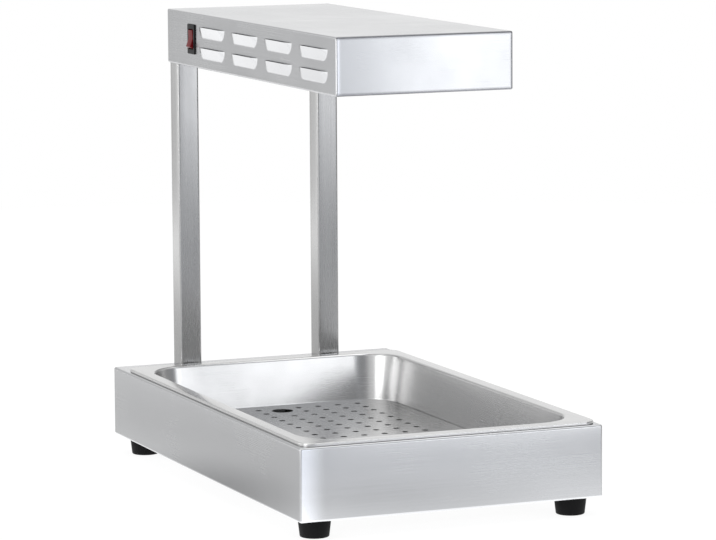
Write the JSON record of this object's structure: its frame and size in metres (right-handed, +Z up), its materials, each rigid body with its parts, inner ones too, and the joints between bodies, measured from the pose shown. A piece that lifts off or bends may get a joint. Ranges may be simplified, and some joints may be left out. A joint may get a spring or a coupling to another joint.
{
  "type": "chip warmer",
  "caption": "Countertop chip warmer: a food pan with a drain plate in a folded steel base, under a louvred heated hood on two square rear posts.",
  "frame": {"origin": "on the resting plane, under the middle of the bounding box", "axes": "+Z up, -Y towards the user in front of the pan, +Y towards the posts and the cord inlet, +X to the user's right"},
  "size_m": [0.334, 0.583, 0.496],
  "materials": {
    "sheet": "brushed stainless sheet",
    "pan_steel": "satin pressed stainless",
    "tube_steel": "brushed square tube",
    "zinc": "bright zinc plated fasteners",
    "reflector_metal": "bright rolled aluminium",
    "wire": "plated wire",
    "foot_rubber": "matte black",
    "black_plastic": "fine-textured black",
    "red_plastic": "glossy translucent red",
    "quartz": "milky quartz",
    "core": "oxidised winding",
    "ceramic": "glazed white",
    "brass": "plain brass",
    "white_plastic": "white moulded"
  },
  "bodies": {
    "stand": {"base_shell": "sheet", "base_crossmember": "sheet", "foot_front_left": "foot_rubber", "foot_front_right": "foot_rubber", "foot_rear_left": "foot_rubber", "foot_rear_right": "foot_rubber", "foot_screws": "zinc", "foot_nuts": "zinc", "post_left": "tube_steel", "post_right": "tube_steel", "post_inserts": "zinc", "lower_post_bolts": "zinc", "upper_post_bolts": "zinc", "hood_shell": "sheet", "hood_floor": "sheet", "hood_floor_screws": "zinc", "hood_rear_panel": "sheet", "rear_panel_screws": "zinc", "hood_crossmember": "sheet", "hood_divider": "sheet", "reflector": "reflector_metal", "heat_shield": "reflector_metal", "heater_bracket_front": "sheet", "heater_bracket_rear": "sheet", "heater_tube_left": "quartz", "heater_tube_right": "quartz", "heater_cores": "core", "heater_caps": "ceramic", "heater_terminals": "brass", "guard_grille": "wire", "switch_housing": "black_plastic", "switch_tabs": "brass", "terminal_block": "white_plastic", "terminal_screws": "brass", "earth_stud": "brass", "gland_body": "black_plastic", "gland_nut": "black_plastic", "gland_seal": "foot_rubber", "gland_locknut": "black_plastic"},
    "pan": {"gn_pan": "pan_steel"},
    "drain_plate": {"drain_plate": "pan_steel"},
    "rocker": {"switch_rocker": "red_plastic"}
  },
  "joints": [
    {"name": "pan_lift", "type": "slide", "parent": "stand", "child": "pan", "axis": [0, 0, 1], "range_m": [0, 0.15]},
    {"name": "drain_plate_lift", "type": "slide", "parent": "pan", "child": "drain_plate", "axis": [0, 0, 1], "range_m": [0, 0.12]},
    {"name": "rocker_tip", "type": "hinge", "parent": "stand", "child": "rocker", "pos_m": [-0.096, 0.1945, 0.467], "axis": [0, -1, 0], "range_deg": [0, 16]}
  ]
}
